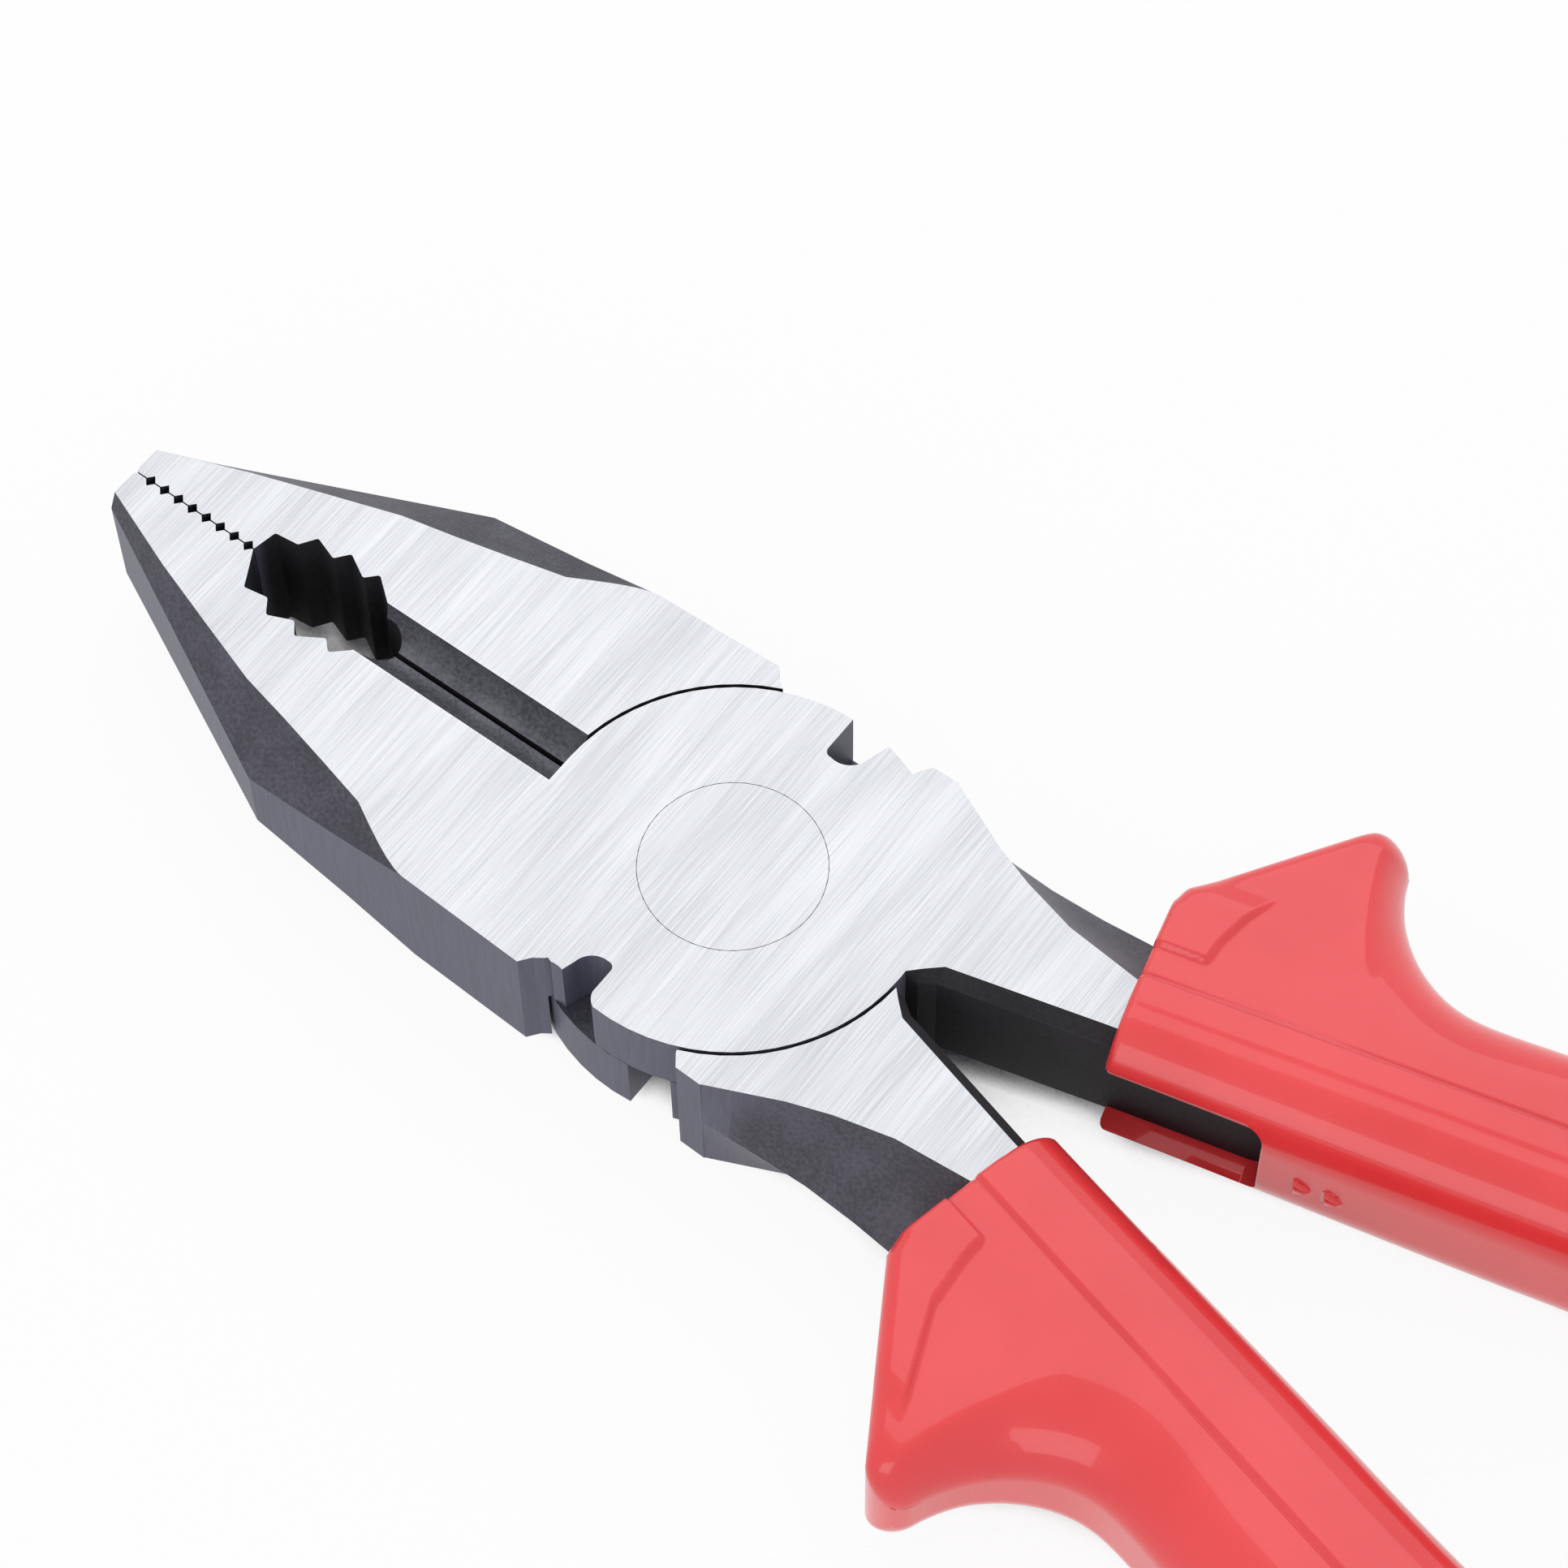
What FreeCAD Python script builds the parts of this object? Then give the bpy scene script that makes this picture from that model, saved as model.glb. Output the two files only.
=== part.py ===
import FreeCAD, Part
import math
import os

# Combination (lineman) pliers, 8 inch size, in millimetres.
# X runs along the tool with the nose at -X, Z is square to the ground side faces, and the
# origin is on the pivot axis at the lower ground face.  Two crossed forgings turn on a
# countersunk rivet: each has one jaw, one half-lap disc and one tang, and each tang carries
# a moulded sleeve.  Each forging is drawn with its jaws shut, its jaw at -Y and its disc in
# the upper layer; the second one is turned over about the X axis.

# Head
thickness = 10.5            # over the two ground faces
disc_radius = 13.5          # of the half-lap disc round the rivet
nose_x = -51.1              # nose tip, measured from the pivot
nose_width = 2.75           # of one jaw at the tip
nose_chamfer = 0.25         # on the inner corner of the tip
shoulder_x = -30.4          # corner between the tapered nose and the parallel flank
shoulder_y = 12.85
flank_x = -16.5             # where the forged bevel runs out into the flank
flank_y = disc_radius - 0.05
heel_x = -6.75              # rear corner of the jaw
heel_y = disc_radius + 0.33
heel_hollow = 1.25          # how far the jaw steps in behind that corner
nose_bevel_edge = [         # x, inner edge of the forged bevel, its height
    (-44.7, 4.6, 1.6),
    (-34.3, 8.05, 2.25),
    (shoulder_x, 8.9, 2.5),
    (-22.4, 10.85, 1.25),
]
tip_bevel_width = 0.5
tip_bevel_height = 1.15
face_relief = 0.05          # each jaw face stands this far from the middle plane when shut

# Half-lap joint and rivet
disc_clearance = 0.25       # between a disc and the arc that the other forging leaves for it
lap_clearance = 0.06        # between the two half-lap faces
rivet_radius = 4.0
rivet_head_radius = 6.2
rivet_head_height = 2.0
rivet_clearance = 0.05      # running fit in the forging that turns on the rivet

# Gripping nose
tooth_count = 8
tooth_pitch = 1.24
tooth_first_x = -49.75
tooth_half_width = 0.42

# Pipe grip, the toothed oval behind the nose.  Its saw teeth stand half way between those
# of the other jaw.
oval_x = -34.5
oval_half_length = 6.1
oval_half_width = 2.7       # to the crests of the saw teeth
saw_count = 4
saw_pitch = 2.6
saw_depth = 0.95
saw_lead = 0.8              # from a crest to the root behind it
saw_round = 0.22
saw_shift = 0.55            # of one jaw's teeth towards the pivot, the other's to the nose
lobe_x = -29.9              # round end of the pipe grip at the cutter
lobe_radius = 1.6

# Side cutter between pipe grip and joint
cutter_lead = 0.9           # how far the grinding runs past the lobe's centre to the nose
cutter_half_width = 2.1
cutter_depth = 1.6          # of the hollow ground along each face
edge_relief = 0.2           # the cutting edges lead the faces by this much at mid height

# Shear notches in the rim of each disc, placed by their straight wall
notch_depth = 3.2
notch_slant = 0.9           # of the other wall, from the notch's bottom to the rim
jaw_notch_x = -1.53
jaw_notch_width = 2.25
jaw_notch_flare = 1.1       # rounding where the straight wall meets the rim
upper_notch_x = -0.4
lower_notch_x = 1.65
tail_notch_width = 2.6
heel_scoop_radius = 2.2
heel_scoop_x = -4.6

# Tang between the joint and the sleeve
crotch_x = disc_radius + 1.84
crotch_y = 2.3
crotch_gap = 0.5            # from the middle plane to the tang's root beside the disc
crotch_flat = 1.0           # length of the slanted run in the crotch
crotch_rise = 0.2           # how much the tang's root rises before it
tail_x = 6.0                # front corner of the tang's outer flank
tail_y = disc_radius + 0.2
tang_flank = [              # x, outer edge of the ground face, ridge at mid height
    (8.0, disc_radius + 0.2, disc_radius + 0.25),
    (10.0, disc_radius - 0.7, disc_radius + 0.15),
    (13.0, disc_radius - 2.05, disc_radius),
    (16.0, disc_radius - 3.1, disc_radius - 0.1),
    (20.0, disc_radius - 4.1, disc_radius + 0.1),
]
inner_bevel_width = 0.9     # forged bevel between the ground face and the inner side
inner_bevel_height = 1.0
scoop_sag = 0.07            # hollow of the forged scoop, as a share of its width

# Sleeve line: a straight run, an arc that turns it inwards, and a straight run to the end
grip_x = 25.84
grip_y = 8.68
grip_angle = 13.9           # degrees, outwards at the front
grip_turn = 18.0            # degrees, through which the arc turns the sleeve inwards
grip_straight = 36.0
grip_arc_radius = 150.0
grip_length = 132.5         # along that line, from the front edge to the rear end

# Tang inside the sleeve: distance along the line, half width, half height
tang_inner = 3.5            # inner edge of the ground face, measured from the sleeve line
tang_outer = 5.5            # outer ridge, measured from the sleeve line at the sleeve's mouth
tang_face = 0.2             # outer edge of the ground face there
tang_front_length = 14.0
tang_tail = [
    (10.0, 3.2, thickness / 2 - 0.45),
    (36.0, 3.2, thickness / 2 - 1.05),
    (62.0, 3.0, thickness / 2 - 1.65),
    (83.0, 2.9, thickness / 2 - 1.95),
    (118.0, 2.6, thickness / 2 - 2.45),
]

# Sleeve: distance along the line, half width, half height
sleeve_sizes = [
    (0.0, 6.5, thickness / 2 + 1.4),
    (30.0, 6.8, thickness / 2 + 1.65),
    (62.0, 7.6, thickness / 2 + 2.15),
    (88.0, 7.2, thickness / 2 + 1.95),
    (108.0, 6.8, thickness / 2 + 1.65),
    (124.5, 7.3, thickness / 2 + 1.95),
]
sleeve_sections = 16
sleeve_corner = 4.6
end_dome = 8.0              # length of the rounded end, within the sleeve's length

# Guard wing at the front of the sleeve, drawn along and across the sleeve line
wing_heel = 7.6
wing_corner = (0.4, 1.0)    # of the chamfer between the mouth and the front edge
wing_tip_along = 11.0
wing_tip_out = 17.4
wing_tip_radius = 2.0
wing_hollow = (15.3, 10.3)
wing_rear_along = 25.0
wing_root_half_height = thickness / 2 + 1.25
wing_tip_half_height = 4.9

# Relief slot in the inner side of the sleeve, and the raised pips behind it
slot_length = 11.0
slot_half_height = 4.0
slot_corner = 1.2
pip_radius = 0.55
pip_height = 0.35
pip_along = (13.8, 15.9)

half = thickness / 2
clear_radius = disc_radius + disc_clearance
past_tang = grip_x + tang_front_length + 4.0
far = 60.0                  # how far a tool reaches where it only has to clear the part
margin = 1.0                # how far a cut starts outside the piece


def vec(x, y, z=0.0):
    return FreeCAD.Vector(x, y, z)


def prism(points, z_low, z_high):
    """A straight-sided plate between two heights."""
    wire = Part.makePolygon([vec(x, y, z_low) for x, y in points + points[:1]])
    return Part.Face(wire).extrude(vec(0, 0, z_high - z_low))


def post(x, y, radius, z_low, z_high):
    return Part.makeCylinder(radius, z_high - z_low, vec(x, y, z_low))


def flipped(shape):
    """The same shape turned over about the X axis through the middle of the head."""
    turned = shape.copy()
    turned.rotate(vec(0, 0, half), vec(1, 0, 0), 180)
    return turned


def upside_down(shape):
    """The same shape mirrored in the middle plane of the head."""
    return shape.mirror(vec(0, 0, half), vec(0, 0, 1))


def grip_line(along):
    """Place and direction, in degrees, of the sleeve line."""
    straight = min(along, grip_straight)
    angle = math.radians(grip_angle)
    x = grip_x + straight * math.cos(angle)
    y = grip_y + straight * math.sin(angle)
    arc_length = grip_arc_radius * math.radians(grip_turn)
    on_arc = min(max(along - grip_straight, 0.0), arc_length)
    end_angle = angle - on_arc / grip_arc_radius
    x += grip_arc_radius * (math.sin(angle) - math.sin(end_angle))
    y += grip_arc_radius * (math.cos(end_angle) - math.cos(angle))
    rest = max(along - grip_straight - arc_length, 0.0)
    x += rest * math.cos(end_angle)
    y += rest * math.sin(end_angle)
    return x, y, math.degrees(end_angle)


def on_grip(along, across):
    """A point beside the straight front run of the sleeve line."""
    angle = math.radians(grip_angle)
    x = grip_x + along * math.cos(angle) - across * math.sin(angle)
    y = grip_y + along * math.sin(angle) + across * math.cos(angle)
    return x, y


def beside_grip(x, across):
    """Height in Y, at a given x, of a line that runs beside the sleeve line."""
    angle = math.radians(grip_angle)
    return grip_y + (x - grip_x) * math.tan(angle) + across / math.cos(angle)


def place_on_grip(shape, along=0.0):
    """Move a shape drawn along X at the origin to its place on the sleeve line."""
    x, y, angle = grip_line(along)
    shape.rotate(vec(0, 0, 0), vec(0, 0, 1), angle)
    shape.translate(vec(x, y, 0))
    return shape


def section(along, half_width, half_height, corner=0.0):
    """A rectangle square to the sleeve line, with rounded corners if asked."""
    y, z, c = half_width, half_height, corner
    if c == 0.0:
        corners = [vec(0, -y, -z), vec(0, y, -z), vec(0, y, z), vec(0, -y, z), vec(0, -y, -z)]
        wire = Part.makePolygon(corners)
    else:
        edges = []
        for turn in range(4):
            side, other = (y, z) if turn % 2 == 0 else (z, y)
            start = vec(0, -(side - c), -other)
            end = vec(0, side - c, -other)
            middle = vec(0, side - c + c * math.sin(math.pi / 4), -other + c - c * math.cos(math.pi / 4))
            after = vec(0, side, -(other - c))
            pieces = [Part.LineSegment(start, end).toShape(), Part.Arc(end, middle, after).toShape()]
            for piece in pieces:
                piece.rotate(vec(0, 0, 0), vec(1, 0, 0), 90 * turn)
            edges += pieces
        wire = Part.Wire(edges)
    wire.translate(vec(0, 0, half))
    return place_on_grip(wire, along)


def sleeve_size(along):
    """Half width and half height of the sleeve, smooth between the listed sizes."""
    for (start, w0, h0), (end, w1, h1) in zip(sleeve_sizes, sleeve_sizes[1:]):
        if along <= end:
            share = (along - start) / (end - start)
            ease = share * share * (3 - 2 * share)
            return w0 + (w1 - w0) * ease, h0 + (h1 - h0) * ease
    return sleeve_sizes[-1][1:]


def jaw_edge(x):
    """Distance of the jaw's outer edge from the middle plane."""
    if x < shoulder_x:
        return nose_width + (shoulder_y - nose_width) * (x - nose_x) / (shoulder_x - nose_x)
    return shoulder_y + (flank_y - shoulder_y) * (x - shoulder_x) / (flank_x - shoulder_x)


def nose_bevel():
    """What the forged bevel takes off the upper outer edge of the jaw."""
    before_tip = nose_x - margin
    stations = [(before_tip, jaw_edge(before_tip) - tip_bevel_width, tip_bevel_height)]
    stations += nose_bevel_edge
    stations.append((flank_x, flank_y, 0.0))
    lift = 0.5
    wires = []
    for x, inner, drop in stations:
        outer = jaw_edge(x)
        reach = outer + 1.5 * margin
        top = thickness + lift
        rise = lift * (outer - inner) / max(drop, lift)
        corners = [
            vec(x, -inner + rise, top),
            vec(x, -outer, thickness - drop),
            vec(x, -reach, thickness - drop),
            vec(x, -reach, top),
        ]
        wires.append(Part.makePolygon(corners + corners[:1]))
    return Part.makeLoft(wires, True, True)


def jaw_blank():
    """The jaw as forged: tapered nose, parallel flank and bevelled outer edges."""
    outline = [
        (nose_x + nose_chamfer / 2, -face_relief),
        (nose_x, -face_relief - nose_chamfer),
        (nose_x, -nose_width),
        (shoulder_x, -shoulder_y),
        (flank_x, -flank_y),
        (heel_x, -heel_y),
        (heel_x + heel_hollow / 2, -heel_y + 0.65 * heel_hollow),
        (heel_x + heel_hollow, -heel_y + heel_hollow),
        (0.0, -disc_radius / 2),
        (0.0, -face_relief),
    ]
    blank = prism(outline, 0, thickness)
    bevel = nose_bevel()
    return blank.cut(bevel).cut(upside_down(bevel))


def tang_scoop():
    """What the forged scoop takes off the outer side above the ridge."""
    flank = list(tang_flank)
    for x in (grip_x, past_tang):
        flank.append((x, beside_grip(x, tang_face), beside_grip(x, tang_outer)))
    wires = []
    for x, face_y, ridge_y in flank:
        top = vec(x, face_y, thickness)
        low = vec(x, ridge_y, half)
        sag = scoop_sag * (ridge_y - face_y)
        middle = vec(x, (face_y + ridge_y) / 2 - sag, (thickness + half) / 2 - sag)
        out = vec(x, ridge_y + 3 * margin, half)
        above = vec(x, ridge_y + 3 * margin, thickness + margin)
        lid = vec(x, face_y, thickness + margin)
        edges = [Part.Arc(top, middle, low).toShape()]
        for start, end in ((low, out), (out, above), (above, lid), (lid, top)):
            edges.append(Part.LineSegment(start, end).toShape())
        wires.append(Part.Wire(edges))
    return Part.makeLoft(wires, True, True)


def inner_bevel():
    """What the forged bevel takes off the upper inner edge of the tang."""
    edge = [
        (disc_radius, crotch_gap + 0.05, crotch_gap),
        (crotch_x - crotch_flat, crotch_y - inner_bevel_width, crotch_gap + crotch_rise),
        (crotch_x, crotch_y, crotch_y - inner_bevel_width),
    ]
    for x in (grip_x, past_tang):
        face_y = beside_grip(x, -tang_inner)
        edge.append((x, face_y, face_y - inner_bevel_width))
    wires = []
    for x, face_y, side_y in edge:
        corners = [
            vec(x, face_y, thickness),
            vec(x, side_y, thickness - inner_bevel_height),
            vec(x, side_y - 3 * margin, thickness - inner_bevel_height),
            vec(x, side_y - 3 * margin, thickness + margin),
            vec(x, face_y, thickness + margin),
        ]
        wires.append(Part.makePolygon(corners + corners[:1]))
    return Part.makeLoft(wires, True, True)


def tang_blank():
    """The tang from the joint into the sleeve, with the hollow scoop beside its faces."""
    side = tang_inner + inner_bevel_width * math.cos(math.radians(grip_angle))
    outline = [(tail_x - 0.6, tail_y - 0.8), (tail_x, tail_y)]
    outline += [(x, ridge_y) for x, face_y, ridge_y in tang_flank]
    outline += [on_grip(0, tang_outer), on_grip(tang_front_length, tang_outer)]
    outline += [on_grip(tang_front_length, -side), on_grip(0, -side)]
    outline += [(crotch_x, crotch_y - inner_bevel_width), (crotch_x - crotch_flat, crotch_gap + crotch_rise)]
    outline += [(disc_radius - 0.3, crotch_gap), (0.0, crotch_gap)]
    blank = prism(outline, 0, thickness)
    for tool in (tang_scoop(), inner_bevel()):
        blank = blank.cut(tool).cut(upside_down(tool))
    tail = Part.makeLoft([section(*station) for station in tang_tail], True, True)
    return blank.fuse(tail)


def disc():
    return post(0, 0, disc_radius, half + lap_clearance / 2, thickness)


def nose_teeth():
    """Small V cuts across the flat gripping face."""
    cuts = []
    for number in range(tooth_count):
        x = tooth_first_x + number * tooth_pitch
        w = tooth_half_width
        diamond = [(x - w, 0.0), (x, -w - face_relief), (x + w, 0.0), (x, w)]
        cuts.append(prism(diamond, -margin, thickness + margin))
    return cuts


def oval(x):
    """Half width of the pipe grip at the crests of its teeth."""
    share = (x - oval_x) / oval_half_length
    return oval_half_width * math.sqrt(max(1 - share * share, 0.0))


def pipe_grip(shift):
    """The oval with saw teeth, and its round end at the cutter."""
    outline = [(oval_x - oval_half_length, 1.0), (oval_x - oval_half_length, -face_relief)]
    for number in range(saw_count):
        root = oval_x + shift + (number - saw_count / 2) * saw_pitch
        crest = root - saw_lead
        if crest > oval_x - oval_half_length + 0.3:
            outline.append((crest, -oval(crest)))
        outline.append((root, -oval(root) - saw_depth))
    last = root - saw_lead + saw_pitch
    outline += [(last, -oval(last)), (lobe_x, -lobe_radius / 2), (lobe_x, 1.0)]
    hole = prism(outline, -margin, thickness + margin)
    upright = []
    for edge in hole.Edges:
        box = edge.BoundBox
        if box.ZLength > 1 and box.YMax < -1.5 * face_relief and box.XMax < last - 0.1:
            upright.append(edge)
    hole = hole.makeFillet(saw_round, upright)
    return [hole, post(lobe_x, 0, lobe_radius, -margin, thickness + margin)]


def cutter():
    """Hollow grinding along both faces, and the relief behind the cutting edge."""
    start = lobe_x - cutter_lead
    length = -disc_radius - start
    radius = (cutter_half_width ** 2 + cutter_depth ** 2) / (2 * cutter_depth)
    rod = Part.makeCylinder(radius, length, vec(start, 0, thickness - cutter_depth + radius), vec(1, 0, 0))
    corners = [
        vec(start, 0, half),
        vec(start, -face_relief, half),
        vec(start, -face_relief - edge_relief, thickness),
        vec(start, 0, thickness),
        vec(start, 0, half),
    ]
    relief = Part.Face(Part.makePolygon(corners)).extrude(vec(length, 0, 0))
    upper = rod.fuse(relief)
    return [upper, upside_down(upper)]


def rim_notch(x, side, width, flare=0.0):
    """A shear notch in the rim of the disc: one straight wall, one slanted wall.
    A positive width runs from the straight wall towards the handles."""
    bottom = disc_radius - notch_depth
    rim = disc_radius + margin
    way = math.copysign(1.0, width)

    def at(across, out):
        return vec(x + way * across, side * out, half)

    slanted = abs(width)
    edges = [
        Part.LineSegment(at(0, disc_radius - 0.9), at(0, bottom + 0.45)).toShape(),
        Part.Arc(at(0, bottom + 0.45), at(0.15, bottom + 0.12), at(0.55, bottom)).toShape(),
        Part.Arc(at(0.55, bottom), at(slanted - 0.55, bottom + 0.35), at(slanted, bottom + 1.3)).toShape(),
        Part.LineSegment(at(slanted, bottom + 1.3), at(slanted + notch_slant, rim)).toShape(),
        Part.LineSegment(at(slanted + notch_slant, rim), at(-1.5 * flare, rim)).toShape(),
    ]
    if flare:
        edges.append(Part.LineSegment(at(-1.5 * flare, rim), at(-1.5 * flare, disc_radius)).toShape())
        edges.append(Part.Arc(
            at(-1.5 * flare, disc_radius), at(-0.32, disc_radius - 0.3), at(0, disc_radius - 0.9),
        ).toShape())
    else:
        edges.append(Part.LineSegment(at(0, rim), at(0, disc_radius - 0.9)).toShape())
    return Part.Face(Part.Wire(edges)).extrude(vec(0, 0, half + margin))


def heel_scoop():
    """The hollow that frees the jaw notch from the heel of the jaw."""
    centre_y = -heel_y + heel_hollow + 0.1 - heel_scoop_radius
    return post(heel_scoop_x, centre_y, heel_scoop_radius, half, thickness + margin)


def rivet_body(grow=0.0):
    """Rivet with a countersunk head at each face, ground flush."""
    stem = post(0, 0, rivet_radius + grow, -grow, thickness + grow)
    slope = (rivet_head_radius - rivet_radius) / rivet_head_height
    top = Part.makeCone(
        rivet_radius + grow, rivet_head_radius + grow + slope * grow, rivet_head_height + grow,
        vec(0, 0, thickness - rivet_head_height),
    )
    return stem.fuse(top).fuse(upside_down(top)).removeSplitter()


def lever(tail_notch_x, grip_shift):
    """One forging, its jaw at -Y and its disc in the upper layer."""
    body = jaw_blank().fuse(tang_blank())
    body = body.cut(post(0, 0, clear_radius, -margin, half + lap_clearance / 2))
    body = body.fuse(disc())
    cuts = nose_teeth() + pipe_grip(grip_shift) + cutter()
    cuts.append(rim_notch(jaw_notch_x, -1, -jaw_notch_width, jaw_notch_flare))
    cuts.append(rim_notch(tail_notch_x, 1, tail_notch_width))
    cuts.append(heel_scoop())
    for tool in cuts:
        body = body.cut(tool)
    return body.removeSplitter()


def wing():
    """The finger guard, thinner towards its tip."""
    tip = (wing_tip_along, wing_tip_out - wing_tip_radius)
    heel = (wing_corner[0], wing_heel)
    run = math.atan2(tip[1] - heel[1], tip[0] - heel[0])
    leave = (tip[0] - wing_tip_radius * math.sin(run), tip[1] + wing_tip_radius * math.cos(run))
    top = (tip[0], wing_tip_out)
    back = (tip[0] + wing_tip_radius, tip[1])
    rear = (wing_rear_along, sleeve_sizes[0][1] - 0.2)
    edges = [
        Part.LineSegment(vec(0, 0), vec(0, wing_heel - wing_corner[1])).toShape(),
        Part.LineSegment(vec(0, wing_heel - wing_corner[1]), vec(*heel)).toShape(),
        Part.LineSegment(vec(*heel), vec(*leave)).toShape(),
        Part.Arc(vec(*leave), vec(*top), vec(*back)).toShape(),
        Part.Arc(vec(*back), vec(*wing_hollow), vec(*rear)).toShape(),
        Part.LineSegment(vec(*rear), vec(wing_rear_along, 0)).toShape(),
        Part.LineSegment(vec(wing_rear_along, 0), vec(0, 0)).toShape(),
    ]
    plate = Part.Face(Part.Wire(edges)).extrude(vec(0, 0, 2 * far))
    plate.translate(vec(0, 0, half - far))
    low, high = wing_tip_half_height, wing_root_half_height
    root = sleeve_sizes[0][1]
    profile = [
        vec(0, -1, half - high), vec(0, root, half - high), vec(0, wing_tip_out, half - low),
        vec(0, wing_tip_out, half + low), vec(0, root, half + high), vec(0, -1, half + high),
    ]
    taper = Part.Face(Part.makePolygon(profile + profile[:1])).extrude(vec(far, 0, 0))
    return place_on_grip(plate.common(taper))


def slot_cut():
    """The open slot that shows the tang at the inner side of the sleeve's mouth."""
    h = slot_half_height
    inner = -sleeve_sizes[0][1] - margin
    corners = [vec(-margin, inner, half - h), vec(slot_length, inner, half - h)]
    corners += [vec(slot_length, inner, half + h), vec(-margin, inner, half + h)]
    depth = -tang_inner - inner
    box = Part.Face(Part.makePolygon(corners + corners[:1])).extrude(vec(0, depth, 0))
    ends = [e for e in box.Edges if e.BoundBox.XMin > slot_length - 0.1 and e.BoundBox.YLength > 1]
    return place_on_grip(box.makeFillet(slot_corner, ends))


def sleeve(forging):
    """The moulded sleeve: closed tube, guard wing, relief slot and pips."""
    dome_start = grip_length - end_dome
    wires = []
    for number in range(sleeve_sections):
        along = dome_start * number / (sleeve_sections - 1)
        width, height = sleeve_size(along)
        wires.append(section(along, width, height, sleeve_corner))
    for angle in (30, 55, 75):
        share = math.radians(angle)
        scale = math.cos(share)
        along = dome_start + end_dome * math.sin(share)
        wires.append(section(along, width * scale, height * scale, sleeve_corner * scale))
    tube = Part.makeLoft(wires, True, True)
    body = tube.fuse(wing()).cut(slot_cut())
    for along in pip_along:
        x, y = on_grip(along, -sleeve_size(along)[0])
        body = body.fuse(Part.makeSphere(pip_radius, vec(x, y + pip_radius - pip_height, half)))
    body = body.cut(forging)
    return body.removeSplitter()


os.makedirs("parts", exist_ok=True)

upper = lever(upper_notch_x, saw_shift)
lower = lever(lower_notch_x, -saw_shift)
pieces = {
    "lever_a": upper.cut(rivet_body(rivet_clearance)),
    "sleeve_a": sleeve(upper),
    "lever_b": flipped(lower).cut(rivet_body()),
    "sleeve_b": flipped(sleeve(lower)),
    "rivet": rivet_body(),
}
for name, shape in pieces.items():
    shape.exportStep("parts/" + name + ".step")
    print(name, "solids", len(shape.Solids), "valid", shape.isValid(), "volume", round(shape.Volume, 1))
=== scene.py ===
import math

import bmesh
import bpy
import numpy as np
from mathutils import Matrix, Vector


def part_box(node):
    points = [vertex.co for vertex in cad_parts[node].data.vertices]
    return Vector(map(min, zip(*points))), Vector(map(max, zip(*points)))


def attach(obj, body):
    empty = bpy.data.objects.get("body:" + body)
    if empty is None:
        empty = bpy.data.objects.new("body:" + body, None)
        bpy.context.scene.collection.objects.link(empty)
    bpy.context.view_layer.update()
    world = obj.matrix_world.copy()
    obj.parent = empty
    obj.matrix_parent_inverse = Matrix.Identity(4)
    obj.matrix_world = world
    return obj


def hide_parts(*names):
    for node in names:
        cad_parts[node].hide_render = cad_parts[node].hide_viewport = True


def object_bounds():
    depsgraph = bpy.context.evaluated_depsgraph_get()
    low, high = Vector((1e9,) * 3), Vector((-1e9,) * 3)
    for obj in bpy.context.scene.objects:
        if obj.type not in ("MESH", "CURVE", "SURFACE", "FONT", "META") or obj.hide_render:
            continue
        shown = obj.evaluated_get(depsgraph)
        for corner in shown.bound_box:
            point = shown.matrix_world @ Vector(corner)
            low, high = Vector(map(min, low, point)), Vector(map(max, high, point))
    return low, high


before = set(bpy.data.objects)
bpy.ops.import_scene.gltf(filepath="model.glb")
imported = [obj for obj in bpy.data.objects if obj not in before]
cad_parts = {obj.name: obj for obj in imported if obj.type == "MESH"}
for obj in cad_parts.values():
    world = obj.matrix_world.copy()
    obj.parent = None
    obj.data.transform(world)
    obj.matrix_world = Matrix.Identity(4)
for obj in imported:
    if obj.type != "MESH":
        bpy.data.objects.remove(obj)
cad_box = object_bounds()

# Two forgings, left and right hand
# Drop-forged tool steel, blackened by heat treatment.  The two flat faces are then ground
# bright on a belt that runs across the tool, so the grinding marks cross the jaws.

head_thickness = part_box("rivet")[1][2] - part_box("rivet")[0][2]
head_middle = head_thickness / 2
handle_start = 0.0135       # where the head ends and the handles begin
groove_half_width = 0.0021  # of the ground hollow along the cutting edges
groove_front = -0.0308
groove_back = -0.0128
groove_fade = 0.0004        # over which the hollow's finish gives way to the next one
ground_skin = 0.0004        # how near a ground face the belt's marks can be
belt_angle = 0.03           # of the belt's marks to the tool's width, in radians


class Value:
    """A number that changes over a surface.  Arithmetic on it adds Math nodes."""

    def __init__(self, finish, socket):
        self.finish = finish
        self.socket = socket

    def __add__(self, other):
        return self.finish.maths("ADD", self, other)

    def __sub__(self, other):
        return self.finish.maths("SUBTRACT", self, other)

    def __rsub__(self, other):
        return self.finish.maths("SUBTRACT", other, self)

    def __mul__(self, other):
        return self.finish.maths("MULTIPLY", self, other)

    def __abs__(self):
        return self.finish.maths("ABSOLUTE", self)

    __radd__ = __add__
    __rmul__ = __mul__


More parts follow.
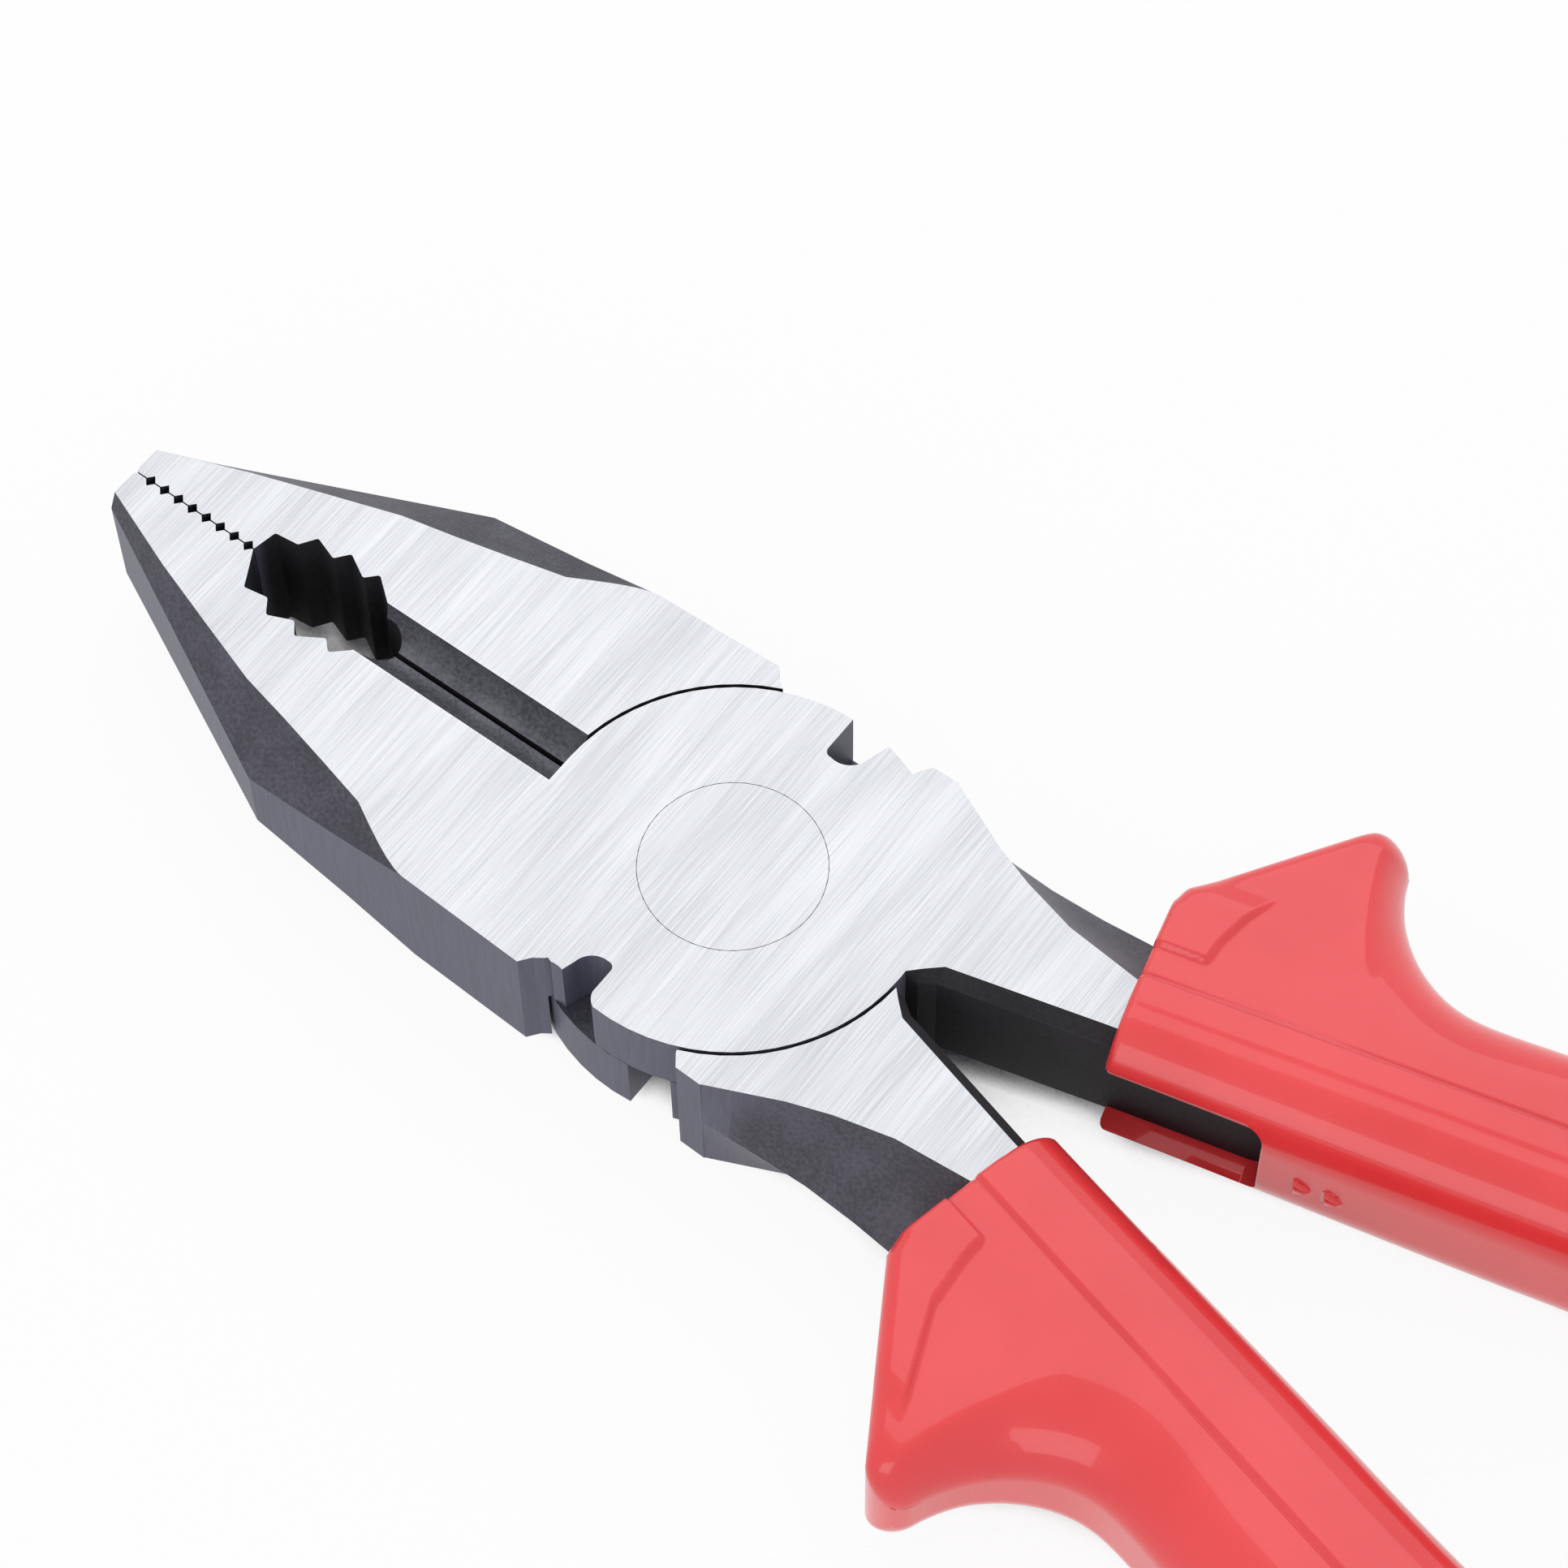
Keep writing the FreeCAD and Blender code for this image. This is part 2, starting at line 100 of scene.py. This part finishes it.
class Finish:
    """The nodes of a new material or world."""

    def __init__(self, owner):
        owner.use_nodes = True
        self.owner = owner
        self.tree = owner.node_tree
        self.tree.nodes.clear()

    def node(self, kind, settings, inputs, output=0):
        """Adds a node: its type, its settings, and values or links by socket."""
        made = self.tree.nodes.new("ShaderNode" + kind)
        for name, value in settings.items():
            setattr(made, name, value)
        for name, value in inputs.items():
            if isinstance(value, Value):
                self.tree.links.new(value.socket, made.inputs[name])
            else:
                made.inputs[name].default_value = value
        return Value(self, made.outputs[output]) if made.outputs else made

    def maths(self, operation, *terms):
        return self.node("Math", {"operation": operation}, dict(enumerate(terms)))

    def place(self):
        """Object coordinates, which stay with the piece when it moves."""
        return self.node("TexCoord", {}, {}, "Object")

    def facing(self):
        return self.node("TexCoord", {}, {}, "Normal")

    def parts(self, vector):
        split = self.tree.nodes.new("ShaderNodeSeparateXYZ")
        self.tree.links.new(vector.socket, split.inputs[0])
        return [Value(self, split.outputs[axis]) for axis in range(3)]

    def ramp(self, value, low, high):
        """0 below low and 1 above high, with a soft change between."""
        settings = {"interpolation_type": "SMOOTHSTEP"}
        inputs = {"Value": value, "From Min": min(low, high), "From Max": max(low, high)}
        rising = self.node("MapRange", settings, inputs)
        return rising if low < high else 1 - rising

    def noise(self, place, stretch, turn=0.0, detail=3.0):
        """Noise with so many features a metre along X, Y and Z."""
        turned = self.node("Mapping", {}, {"Vector": place, "Rotation": (0, 0, turn)})
        scaled = self.node("VectorMath", {"operation": "MULTIPLY"}, {0: turned, 1: stretch})
        return self.node("TexNoise", {}, {"Vector": scaled, "Scale": 1.0, "Detail": detail})

    def blend(self, share, first, second):
        """A colour between two colours."""
        settings = {"data_type": "RGBA"}
        return self.node("Mix", settings, {0: share, 6: first, 7: second}, 2)

    def bump(self, height, depth, strength):
        inputs = {"Height": height, "Distance": depth, "Strength": strength}
        return self.node("Bump", {}, inputs)

    def surface(self, inputs):
        """Ends a material in one glossy surface."""
        shader = self.node("BsdfPrincipled", {}, inputs)
        self.node("OutputMaterial", {}, {"Surface": shader})
        return self.owner


def tint(red, green, blue):
    return (red, green, blue, 1.0)


def steel_finish(name):
    steel = Finish(bpy.data.materials.new(name))
    place = steel.place()
    x, y, z = steel.parts(place)
    across, along, up = steel.parts(steel.facing())

    level = steel.ramp(abs(up), 0.955, 0.99)
    skin = steel.ramp(abs(z - head_middle), head_middle - ground_skin, head_middle - ground_skin / 4)
    ground = level * skin
    upright = steel.ramp(abs(up), 0.3, 0.1)
    inward = steel.ramp(y * along, 0.0, -0.0002)
    on_handle = steel.ramp(x, handle_start - 0.001, handle_start + 0.002)
    in_groove = (
        steel.ramp(abs(y), groove_half_width + groove_fade / 2, groove_half_width)
        * steel.ramp(x, groove_front, groove_front + groove_fade)
        * steel.ramp(x, groove_back, groove_back - groove_fade)
        * steel.ramp(abs(up), 0.1, 0.3)
    )

    fine = steel.noise(place, (12000.0, 120.0, 400.0), belt_angle)
    second = steel.noise(place, (7000.0, 90.0, 400.0), belt_angle - 0.08)
    broad = steel.noise(place, (420.0, 60.0, 60.0), belt_angle, 2.0)
    marks = steel.ramp(fine * 0.5 + second * 0.3 + broad * 0.3, 0.34, 0.72)
    bright = steel.blend(marks, tint(0.368, 0.377, 0.400), tint(0.535, 0.547, 0.570))

    grain = steel.noise(place, (3800.0, 3800.0, 3800.0), 0.0, 5.0)
    mottle = steel.noise(place, (260.0, 260.0, 260.0), 0.0, 3.0)
    milled = steel.noise(place, (4200.0, 4200.0, 240.0))
    scale = steel.ramp(grain * 0.6 + mottle * 0.5, 0.38, 0.72)
    forged = steel.blend(scale, tint(0.030, 0.029, 0.043), tint(0.076, 0.074, 0.104))
    # Painted light: the head's upright walls get a lighter colour than its forged top and bevels,
    # chosen by which way each face turns, for the light the walls catch.
    wall = steel.blend(milled, tint(0.052, 0.053, 0.079), tint(0.110, 0.114, 0.171))
    # Painted shade: a near-black for the walls that face the middle, between the jaws and into the
    # hole.
    inner_shade = steel.blend(scale, tint(0.004, 0.004, 0.006), tint(0.015, 0.014, 0.019))
    hollow = steel.blend(scale, tint(0.053, 0.053, 0.068), tint(0.128, 0.128, 0.152))

    dark = steel.blend(upright * (1 - on_handle), forged, wall)
    shaded = steel.ramp(abs(up), 0.93, 0.85)
    # Painted shade: walls that face the other jaw, outside the ground hollow, take that near-black.
    dark = steel.blend(inward * shaded * (1 - in_groove), dark, inner_shade)
    dark = steel.blend(in_groove, dark, hollow)
    colour = steel.blend(ground, dark, bright)

    relief = ground * fine * 0.6 + (1 - ground) * grain
    belt_polish = ground * (fine * 0.14 - 0.22)
    soot = inward * shaded * (1 - ground) * 0.25
    return steel.surface({
        "Base Color": colour,
        "Metallic": ground * 0.9 + in_groove * 0.5,
        "Roughness": belt_polish + 0.5 + soot,
        "Normal": steel.bump(relief, 0.00003, 0.35),
    })


def dress(piece, material):
    piece.data.materials.clear()
    piece.data.materials.append(material)


forged_steel = steel_finish("forged steel, ground faces")
for name in ("lever_a", "lever_b"):
    dress(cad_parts[name], forged_steel)

# Rivet
# A solid steel pin, its two heads set into the countersinks and ground flush with the
# faces in the same pass, so only a fine ring shows round each head.

dress(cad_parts["rivet"], steel_finish("rivet steel, ground flush"))

# Two sleeves
# Glossy red vinyl, dipped and moulded over the bare handles.  Each has a finger guard at
# its mouth, a parting step along its top and bottom, and an open slot at the inner side.

mm = 0.001
line_start = (25.84, 8.68)  # the sleeve's line: straight, then curved inwards, then straight
line_angle = 13.9
line_straight = 36.0
arc_radius = 150.0
arc_turn = 18.0
sleeve_length = 132.5
end_round = 8.0             # length of the rounded closed end
sizes = (                   # along the line, half width, half height
    (0.0, 6.5, 6.65),
    (30.0, 6.8, 6.9),
    (62.0, 7.6, 7.4),
    (88.0, 7.2, 7.2),
    (108.0, 6.8, 6.9),
    (124.5, 7.3, 7.2),
)
corner = 4.6
mouth_round = 0.55          # on the rim of the mouth
step_height = 0.28          # at the parting line, the inner half stands higher
step_width = 0.22
step_fade = (112.0, 122.0)  # where along the line the step runs out
parting_width = 0.12        # of the fine groove at the foot of the step
parting_depth = 0.12
valley_place = -2.35        # a shallow valley beside the flat strip
valley_width = 0.4
valley_depth = 0.13
guard_corner = (0.4, 7.6)
guard_chamfer = 1.0         # between the mouth and that corner
guard_tip = (11.0, 15.4)
tip_radius = 2.0
guard_hollow = (15.3, 10.3)
guard_rear = (25.0, 6.3)
guard_soften = 0.9          # how softly the hollow runs into the tube
guard_drop = 1.5            # how much lower the guard's tip is than its root
front_edge_round = 1.2
rear_edge_round = 4.3
rear_edge_spread = 1.35     # the rear rounding is wider than it is high
edge_share = 0.93           # the most that a rounding takes of the guard's half height
over_tip = (9.0, 14.0)      # where the front rounding changes to the rear one
into_tube = (18.0, 30.0)    # where the rear rounding changes to the tube's corner
guard_end = (16.0, 34.0)    # where the guard's slope runs out
rim_height = 0.45           # raised rim along the guard's front edge
rim_above = ((-1.0, 2.6), (3.7, 2.6), (4.0, 4.2), (4.9, 6.6), (6.6, 9.4))
rim_below = ((-1.0, 2.6), (3.7, 2.6), (4.0, 4.2), (5.0, 7.6), (8.4, 12.4), (9.4, 14.0))
slot_length = 11.0
slot_half_height = 4.0
slot_corner = 1.2
slot_floor = -3.5
slot_ahead = -1.0           # the cutter starts outside the sleeve, before its mouth
slot_beside = -9.0
pip_places = (13.8, 15.9)
pip_size = 0.75
pip_height = 0.4
pip_level = -0.5            # their height, from the middle


def eased(value, low, high):
    """0 at low and 1 at high, with a soft change between."""
    share = np.clip((value - low) / (high - low), 0.0, 1.0)
    return share * share * (3 - 2 * share)


def lowered(distance, radius):
    """How far a rounded edge has dropped at this distance from it."""
    inside = np.clip(distance, 0.0, radius)
    return radius - np.sqrt(radius * radius - (radius - inside) ** 2)


def tube_size(along):
    """Half width and half height of the sleeve's tube."""
    for (start, width, height), (end, next_width, next_height) in zip(sizes, sizes[1:]):
        if along <= end:
            share = eased(along, start, end)
            return width + (next_width - width) * share, height + (next_height - height) * share
    return sizes[-1][1:]


def circle_through(a, b, c):
    """Centre and radius of the circle through three points."""
    rows = np.array([np.subtract(b, a), np.subtract(c, b)])
    middles = np.array([np.add(a, b), np.add(b, c)]) / 2
    centre = np.linalg.solve(rows, np.sum(rows * middles, axis=1))
    return centre, math.dist(centre, a)


guard_reach = guard_tip[1] + tip_radius
tip_back = (guard_tip[0] + tip_radius, guard_tip[1])
hollow_centre, hollow_radius = circle_through(tip_back, guard_hollow, guard_rear)
front_slope = math.atan2(guard_tip[1] - guard_corner[1], guard_tip[0] - guard_corner[0])
tip_front = (
    guard_tip[0] - tip_radius * math.sin(front_slope),
    guard_tip[1] + tip_radius * math.cos(front_slope),
)


def reach(along):
    """How far the sleeve's outer side stands from its line: the outline of the guard."""
    width = tube_size(along)[0]
    if along < guard_corner[0]:
        return guard_corner[1] - guard_chamfer * (1 - along / guard_corner[0])
    if along < tip_front[0]:
        share = (along - guard_corner[0]) / (tip_front[0] - guard_corner[0])
        return guard_corner[1] + share * (tip_front[1] - guard_corner[1])
    if along < tip_back[0]:
        return guard_tip[1] + math.sqrt(tip_radius ** 2 - (along - guard_tip[0]) ** 2)
    if along > hollow_centre[0]:
        arc = hollow_centre[1] - hollow_radius
    else:
        arc = hollow_centre[1] - math.sqrt(hollow_radius ** 2 - (along - hollow_centre[0]) ** 2)
    return (arc + width + math.sqrt((arc - width) ** 2 + guard_soften ** 2)) / 2


def distance_to(points, line):
    """Shortest distance from each point to a line of points."""
    start, end = line[:-1], line[1:]
    run = end - start
    length = np.maximum(np.sum(run * run, axis=1), 1e-12)
    offset = points[:, None, :] - start[None]
    share = np.clip(np.sum(offset * run, axis=2) / length, 0.0, 1.0)
    gap = offset - share[..., None] * run
    return np.sqrt(np.min(np.sum(gap * gap, axis=2), axis=1))


# Cross-sections stand close together where the mouth is rounded and behind the guard's tip
stations = np.concatenate([
    mouth_round * (1 - np.cos(np.linspace(0, math.pi / 2, 7))),
    np.arange(mouth_round + 0.2, 11.8, 0.2),
    np.arange(11.8, 14.2, 0.07),
    np.arange(14.2, 40.0, 0.5),
    np.arange(40.0, sleeve_length - end_round, 1.25),
])
outline_places = np.concatenate([np.arange(0.0, 30.0, 0.12), np.arange(30.0, sleeve_length, 1.0)])
outline = np.array([(s, reach(s)) for s in outline_places])
wall_points = 6             # of half a cross-section: on a side, a corner and the guard
corner_points = 14
guard_points = 84


def rim_relief(points, rim):
    """The raised rim: it fills the corner between the front edge and an L-shaped line."""
    rim_edge = np.array(rim)
    along, out = points[:, 0], points[:, 1]
    bound = np.interp(out, rim_edge[1:, 1], rim_edge[1:, 0])
    ahead = eased(bound - along, -0.1, 0.28)
    above = eased(out, rim_edge[0, 1] - 0.2, rim_edge[0, 1] + 0.15)
    fade = 1 - eased(out, rim_edge[-2, 1], rim_edge[-1, 1])
    return rim_height * ahead * above * fade


def half_loop(along, size, rim):
    """Upper or lower half of the sleeve's cross-section, from its inner to its outer side.
    Returns points across the line and away from the middle plane."""
    width, height = tube_size(along)
    inset = float(lowered(along, mouth_round))
    width, height = width - inset, height - inset
    out = reach(along) - inset
    turn = np.linspace(0, math.pi / 2, corner_points)
    wall = np.linspace(0, height - corner, wall_points + 1)[:-1]
    across = [np.full(wall_points, -width), -width + corner - corner * np.cos(turn)]
    level = [wall, height - corner + corner * np.sin(turn)]

    strip = np.linspace(-width + corner, 0.0, corner_points)[1:]
    across.append(strip)
    level.append(np.full(len(strip), height))

    reach_out = np.sin(np.linspace(0, math.pi / 2, guard_points))
    guard = step_width + (out - step_width) * reach_out
    points = np.stack([np.full(guard_points, along), guard], axis=1)
    edge = distance_to(points, outline)
    weight = 1 - eased(along, *guard_end)
    drop = guard_drop * weight * (np.clip(guard, 0, None) / guard_reach) ** 1.5
    step = step_height * (1 - eased(along, *step_fade))
    top = height - step - drop + rim_relief(points, rim)
    behind = eased(along, *over_tip)
    round_tube = eased(along, *into_tube)
    radius = front_edge_round + (rear_edge_round - front_edge_round) * behind
    radius = radius + (corner - rear_edge_round) * round_tube
    radius = np.minimum(radius, edge_share * top[-1])
    spread = 1 + (rear_edge_spread - 1) * behind * (1 - round_tube)
    top = top - lowered(edge / spread, radius)
    across.append(guard)
    level.append(top)
    side = np.linspace(top[-1], 0.0, wall_points)[1:]
    across.append(np.full(len(side), guard[-1]))
    level.append(side)

    across, level = np.concatenate(across), np.concatenate(level)
    parting = (across - step_width - 0.05) / parting_width
    groove = np.exp(-parting ** 2) * parting_depth
    valley = np.exp(-((across - valley_place) / valley_width) ** 2) * valley_depth
    crown = (np.abs(across) < corner) & (level > 1.0)
    level = level - np.where(crown, groove + valley, 0.0)
    return across * size, level * size


def on_line(along):
    """Place and direction of the sleeve's line at this distance from the mouth."""
    start = math.radians(line_angle)
    straight = min(along, line_straight)
    x = line_start[0] + straight * math.cos(start)
    y = line_start[1] + straight * math.sin(start)
    arc = min(max(along - line_straight, 0.0), arc_radius * math.radians(arc_turn))
    end = start - arc / arc_radius
    x += arc_radius * (math.sin(start) - math.sin(end))
    y += arc_radius * (math.cos(end) - math.cos(start))
    rest = max(along - line_straight - arc_radius * math.radians(arc_turn), 0.0)
    return x + rest * math.cos(end), y + rest * math.sin(end), end


def set_on_line(along, across, level):
    """Frame coordinates of a point beside the sleeve's line."""
    x, y, angle = on_line(along)
    return (
        (x - across * math.sin(angle)) * mm,
        (y + across * math.cos(angle)) * mm,
        head_middle + level * mm,
    )


def solid(name, rings):
    """A closed mesh through rings of points, each with as many points."""
    count = len(rings[0])
    points = [point for ring in rings for point in ring]
    faces = []
    for ring in range(len(rings) - 1):
        for k in range(count):
            a, b = ring * count + k, ring * count + (k + 1) % count
            faces.append((a, b, b + count, a + count))
    faces.append(tuple(reversed(range(count))))
    faces.append(tuple(range(len(points) - count, len(points))))
    mesh = bpy.data.meshes.new(name)
    mesh.from_pydata(points, [], faces)
    mesh.validate()
    piece = bpy.data.objects.new(name, mesh)
    bpy.context.scene.collection.objects.link(piece)
    return piece


def sleeve_tube(name):
    end_start = sleeve_length - end_round
    cuts = [(along, 1.0) for along in stations]
    for angle in np.radians(np.linspace(0, 87, 14)):
        cuts.append((end_start + end_round * math.sin(angle), math.cos(angle)))
    rings = []
    for along, size in cuts:
        upper, lower = [
            list(zip(*half_loop(min(along, end_start), size, rim))) for rim in (rim_above, rim_below)
        ]
        lower = [(v, -w) for v, w in reversed(lower[1:-1])]
        rings.append([set_on_line(along, v, w) for v, w in upper + lower])
    return solid(name, rings)


def slot_cutter():
    """The block that opens the slot, with its two rear corners rounded."""
    inner = slot_length - slot_corner
    high = slot_half_height - slot_corner
    outline_points = [(slot_ahead, -slot_half_height)]
    for start, centre in ((-90, -high), (0, high)):
        for angle in np.radians(np.linspace(start, start + 90, 9)):
            outline_points.append((
                inner + slot_corner * math.cos(angle),
                centre + slot_corner * math.sin(angle),
            ))
    outline_points.append((slot_ahead, slot_half_height))
    rings = []
    for across in (slot_beside, slot_floor):
        rings.append([set_on_line(u, across, w) for u, w in outline_points])
    return solid("slot_cutter", rings)


def pip(along):
    """A small raised arrow, with its top drawn in."""
    width = tube_size(along)[0]
    rings = []
    for across, size in ((-width + 0.5, 1.2), (-width - 0.1, 1.1), (-width - pip_height, 0.6)):
        ring = []
        for k in range(3):
            angle = k * 2 * math.pi / 3
            u = along + pip_size * size * math.cos(angle)
            ring.append(set_on_line(u, across, pip_level + pip_size * size * math.sin(angle)))
        rings.append(ring)
    return solid("pip", rings)


def outward(piece):
    """Turns every face of a closed mesh to look outwards."""
    work = bmesh.new()
    work.from_mesh(piece.data)
    bmesh.ops.remove_doubles(work, verts=work.verts, dist=1e-7)
    bmesh.ops.recalc_face_normals(work, faces=work.faces)
    work.to_mesh(piece.data)
    work.free()


def carve(piece, tool, operation):
    """Cuts a piece with a tool, or joins them, and keeps the result as its mesh."""
    change = piece.modifiers.new("carve", "BOOLEAN")
    change.operation = operation
    change.solver = "EXACT"
    change.object = tool
    shape = piece.evaluated_get(bpy.context.evaluated_depsgraph_get())
    mesh = bpy.data.meshes.new_from_object(shape)
    piece.modifiers.clear()
    piece.data = mesh


sleeve_a = sleeve_tube("vinyl_sleeve_a")
tools = [(slot_cutter(), "DIFFERENCE")] + [(pip(along), "UNION") for along in pip_places]
outward(sleeve_a)
for tool, operation in tools:
    outward(tool)
    carve(sleeve_a, tool, operation)
    bpy.data.objects.remove(tool)
carve(sleeve_a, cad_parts["lever_a"], "DIFFERENCE")

red = Finish(bpy.data.materials.new("red vinyl"))
place = red.place()
peel = red.noise(place, (2600.0, 2600.0, 2600.0), 0.0, 2.0)
cloud = red.noise(place, (90.0, 90.0, 90.0), 0.0, 3.0)
speck = red.ramp(red.noise(place, (5200.0, 5200.0, 5200.0), 0.0, 2.0), 0.62, 0.74)
tone = red.blend(red.ramp(cloud, 0.3, 0.7), tint(0.78, 0.038, 0.043), tint(0.85, 0.050, 0.057))
vinyl = red.surface({
    "Base Color": red.blend(speck * 0.25, tone, tint(0.64, 0.028, 0.033)),
    "Roughness": peel * 0.10 + 0.30,
    "Specular IOR Level": 0.3,
    "Coat Weight": 0.7,
    "Coat Roughness": 0.06,
    "Normal": red.bump(peel, 0.00002, 0.12),
})
dress(sleeve_a, vinyl)

sleeve_b = bpy.data.objects.new("vinyl_sleeve_b", sleeve_a.data.copy())
bpy.context.scene.collection.objects.link(sleeve_b)
turned_over = Matrix.Rotation(math.pi, 4, "X")
turned_over.translation = Vector((0, 0, 2 * head_middle))
sleeve_b.data.transform(turned_over)

crease_angle = math.radians(38)
for piece, body, node in ((sleeve_a, "upper_half", "sleeve_a"), (sleeve_b, "lower_half", "sleeve_b")):
    piece.data.shade_smooth()
    piece.data.set_sharp_from_angle(angle=crease_angle)
    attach(piece, body)
    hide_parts(node)

# Floor, light and camera
# The tool lies on a white table under one large soft light behind it and a small one
# beside it, in a white room; painted shadow darkens the table where the steel closes over it.

table_height = cad_box[0][2]
table_size = 6.0
shade_reach = 0.014         # how near the steel has to be for painted shade on the table inside a hole
table_middle = 0.06         # under the middle of the tool
bpy.ops.mesh.primitive_plane_add(size=table_size, location=(table_middle, 0, table_height))
floor = bpy.context.object
floor.name = "floor"


def seen_or_mirrored(finish):
    """1 for what the camera sees straight or in a glossy or clear surface."""
    path = finish.tree.nodes.new("ShaderNodeLightPath")
    kinds = ("Camera", "Glossy", "Transmission")
    rays = [Value(finish, path.outputs["Is " + kind + " Ray"]) for kind in kinds]
    return finish.maths("MINIMUM", rays[0] + rays[1] + rays[2], 1.0)


table = Finish(bpy.data.materials.new("white table"))
table_tone = table.noise(table.place(), (8.0, 8.0, 8.0))
# Painted shadow: where ambient occlusion finds steel close, as inside the hole, the table's colour
# turns dark grey and its white for the camera fades out.
open_air = table.node("AmbientOcclusion", {"samples": 32}, {"Distance": shade_reach}, 1)
openness = table.ramp(open_air, 0.12, 0.3)
pale = table.blend(table_tone, tint(0.80, 0.80, 0.81), tint(0.84, 0.84, 0.85))
matt = table.node("BsdfDiffuse", {}, {"Color": table.blend(openness, tint(0.16, 0.15, 0.18), pale)})
white = table.node("Emission", {}, {"Color": tint(1, 1, 1), "Strength": 1.0})
lit = seen_or_mirrored(table) * openness * 0.93
shown = table.node("MixShader", {}, {0: lit, 1: matt, 2: white})
table.node("OutputMaterial", {}, {"Surface": shown})
dress(floor, table.owner)

room = Finish(bpy.data.worlds.new("white room"))
bpy.context.scene.world = room.owner
room_light = 0.74
strength = seen_or_mirrored(room) * (1 - room_light) + room_light
air = room.node("Background", {}, {"Color": tint(1, 1, 1), "Strength": strength})
room.node("OutputWorld", {}, {"Surface": air})


def softbox(name, direction, distance, width, height, brightness):
    """A rectangular soft light aimed at the joint; brightness is that of its surface."""
    lamp = bpy.data.lights.new(name, "AREA")
    lamp.shape = "RECTANGLE"
    lamp.size = width
    lamp.size_y = height
    lamp.energy = brightness * math.pi * width * height
    holder = bpy.data.objects.new(name, lamp)
    towards = Vector(direction).normalized()
    holder.location = towards * distance
    holder.rotation_euler = towards.to_track_quat("Z", "Y").to_euler()
    bpy.context.scene.collection.objects.link(holder)
    return holder


softbox("large soft light", (-0.33, 0.48, 0.81), 0.9, 1.0, 0.8, 1.0)
softbox("side light", (0.2, -0.9, 0.5), 1.0, 0.55, 0.55, 1.6)

view_turn = math.radians(38.322)
view_height = math.radians(59.678)
view_roll = math.radians(-1.196)
view_distance = 0.321686
view_aside = -0.003199      # the joint lies this far right of the middle of the view
view_above = -0.010577      # and this far above it
lens = 111.256
sensor = 36.0

look = Vector((
    -math.sin(view_turn) * math.cos(view_height),
    math.cos(view_turn) * math.cos(view_height),
    -math.sin(view_height),
))
level_right = Vector((math.cos(view_turn), math.sin(view_turn), 0))
level_up = level_right.cross(look)
right = level_right * math.cos(view_roll) + level_up * math.sin(view_roll)
above = level_up * math.cos(view_roll) - level_right * math.sin(view_roll)
stand = -(right * view_aside + above * view_above + look * view_distance)
turn = Matrix((right, above, -look)).transposed()

camera = bpy.data.objects.new("camera", bpy.data.cameras.new("camera"))
camera.data.lens = lens
camera.data.sensor_width = sensor
camera.data.clip_start = 0.01
camera.matrix_world = Matrix.Translation(stand) @ turn.to_4x4()
bpy.context.scene.collection.objects.link(camera)
bpy.context.scene.camera = camera
bpy.context.scene.view_settings.view_transform = "Standard"
